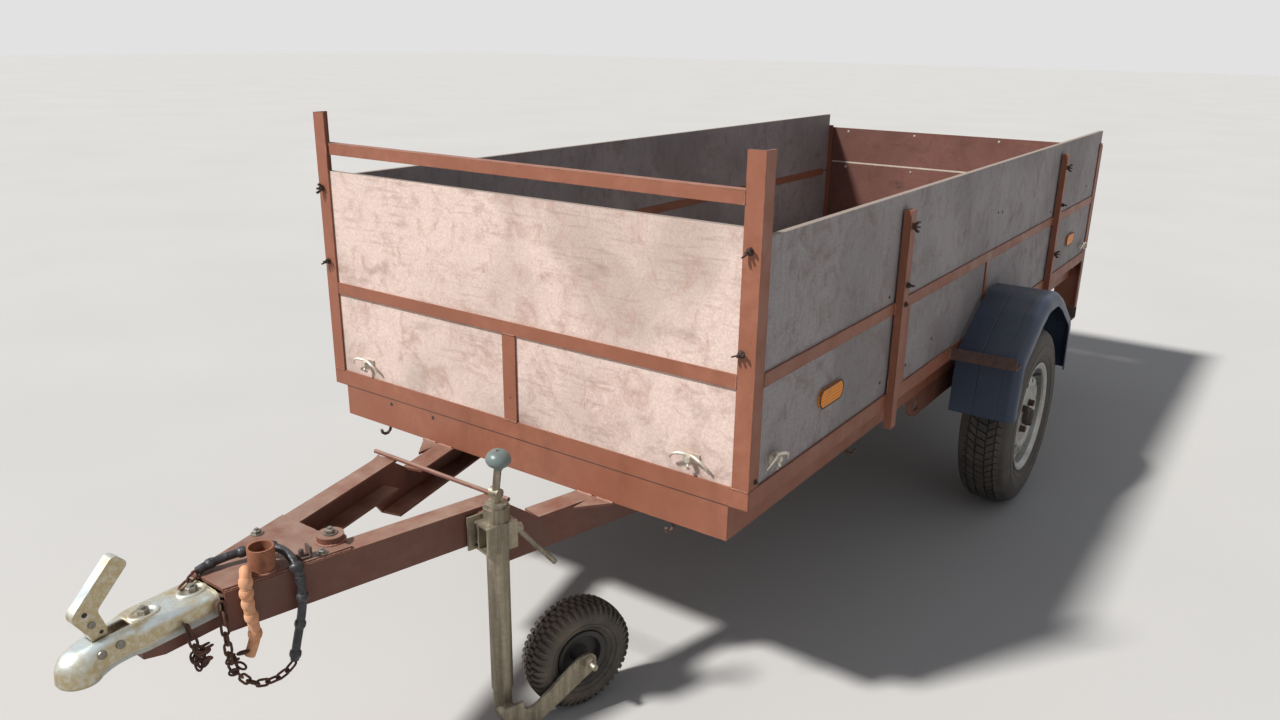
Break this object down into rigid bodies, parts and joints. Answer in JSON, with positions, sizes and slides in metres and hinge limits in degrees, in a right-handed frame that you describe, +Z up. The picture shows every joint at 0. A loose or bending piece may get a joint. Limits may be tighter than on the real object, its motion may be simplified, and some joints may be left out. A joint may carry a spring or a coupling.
{
  "type": "utility trailer",
  "caption": "Single-axle utility trailer with high plywood sides, ladder bar, A-frame drawbar, ball coupling and swivelling jockey wheel, parked on the jockey wheel.",
  "frame": {"origin": "on the ground, in the middle of the overall length and width", "axes": "+X forward to the coupling, +Y to the left side, +Z up"},
  "size_m": [4.16, 1.704, 1.283],
  "materials": {
    "brown_paint": "semi-matt, faded, with rust at edges",
    "worn_plywood": "weathered brown film-faced plywood, scuffed",
    "floor_plywood": "weathered grey-brown plywood",
    "axle_paint": "dark, dusty",
    "rusty_steel": "rusty",
    "zinc_steel": "zinc plated, dull",
    "grey_zinc": "aged zinc, patchy",
    "wheel_paint": "silver grey, dusty",
    "tyre": "worn, dusty",
    "guard_plastic": "scuffed",
    "orange_lens": "reflector",
    "red_lens": "lamp lens",
    "black_wrap": "tape wrapped",
    "orange_sleeve": "faded hose"
  },
  "bodies": {
    "chassis": {"side_rails": "brown_paint", "end_rails": "brown_paint", "cross_members": "brown_paint", "rim_sides": "brown_paint", "rim_ends": "brown_paint", "front_posts": "brown_paint", "rear_posts": "brown_paint", "rear_lamps": "red_lens", "ladder_bar": "brown_paint", "middle_rails": "brown_paint", "lower_straps": "brown_paint", "side_stakes": "brown_paint", "floor_board": "floor_plywood", "front_lower_board": "worn_plywood", "front_upper_board": "worn_plywood", "side_lower_boards": "worn_plywood", "side_upper_boards": "worn_plywood", "hinge_fixed_halves": "brown_paint", "axle_beam": "axle_paint", "swing_arms": "axle_paint", "axle_brackets": "brown_paint", "mudguard_left": "guard_plastic", "mudguard_right": "guard_plastic", "mudguard_brackets": "rusty_steel", "front_arms": "brown_paint", "rear_arms": "brown_paint", "nose_plate": "brown_paint", "tongue_bar": "brown_paint", "stub_pipe": "rusty_steel", "cross_rod": "brown_paint", "coupling_body": "zinc_steel", "stand_clamp": "grey_zinc", "side_reflectors": "orange_lens", "rope_cleats": "zinc_steel", "rope_hooks": "rusty_steel", "wrapped_chain": "black_wrap", "sleeved_chain": "orange_sleeve", "bare_chains": "rusty_steel"},
    "wheel_left": {"rim_left": "wheel_paint", "tyre_left": "tyre", "hub_left": "axle_paint"},
    "wheel_right": {"rim_right": "wheel_paint", "tyre_right": "tyre", "hub_right": "axle_paint"},
    "tailgate": {"tailgate_frame": "brown_paint", "tailgate_board": "worn_plywood", "hinge_gate_halves": "brown_paint"},
    "stand_leg": {"stand_tube": "grey_zinc", "stand_crank": "grey_zinc"},
    "stand_swivel": {"stand_fork": "grey_zinc"},
    "stand_wheel": {"stand_tyre": "tyre", "stand_rim": "axle_paint"},
    "lever": {"coupling_lever": "zinc_steel"}
  },
  "joints": [
    {"name": "wheel_left_spin", "type": "hinge", "parent": "chassis", "child": "wheel_left", "pos_m": [-0.591, 0.7555, 0.3], "axis": [0, 1, 0], "continuous": true},
    {"name": "wheel_right_spin", "type": "hinge", "parent": "chassis", "child": "wheel_right", "pos_m": [-0.591, -0.7555, 0.3], "axis": [0, 1, 0], "continuous": true},
    {"name": "tailgate_hinge", "type": "hinge", "parent": "chassis", "child": "tailgate", "pos_m": [-2.072, 0, 0.59], "axis": [0, -1, 0], "range_deg": [0, 180]},
    {"name": "stand_slide", "type": "slide", "parent": "chassis", "child": "stand_leg", "axis": [0, 0, 1], "range_m": [0, 0.12]},
    {"name": "stand_swivel", "type": "hinge", "parent": "stand_leg", "child": "stand_swivel", "pos_m": [1.3, 0.215, 0.1], "axis": [0, 0, 1], "continuous": true},
    {"name": "stand_wheel_spin", "type": "hinge", "parent": "stand_swivel", "child": "stand_wheel", "pos_m": [1.12146, 0.27998, 0.13], "axis": [0.342, 0.9397, 0], "continuous": true},
    {"name": "coupling_lever", "type": "hinge", "parent": "chassis", "child": "lever", "pos_m": [2.005, 0, 0.53], "axis": [0, -1, 0], "range_deg": [0, 49]}
  ]
}
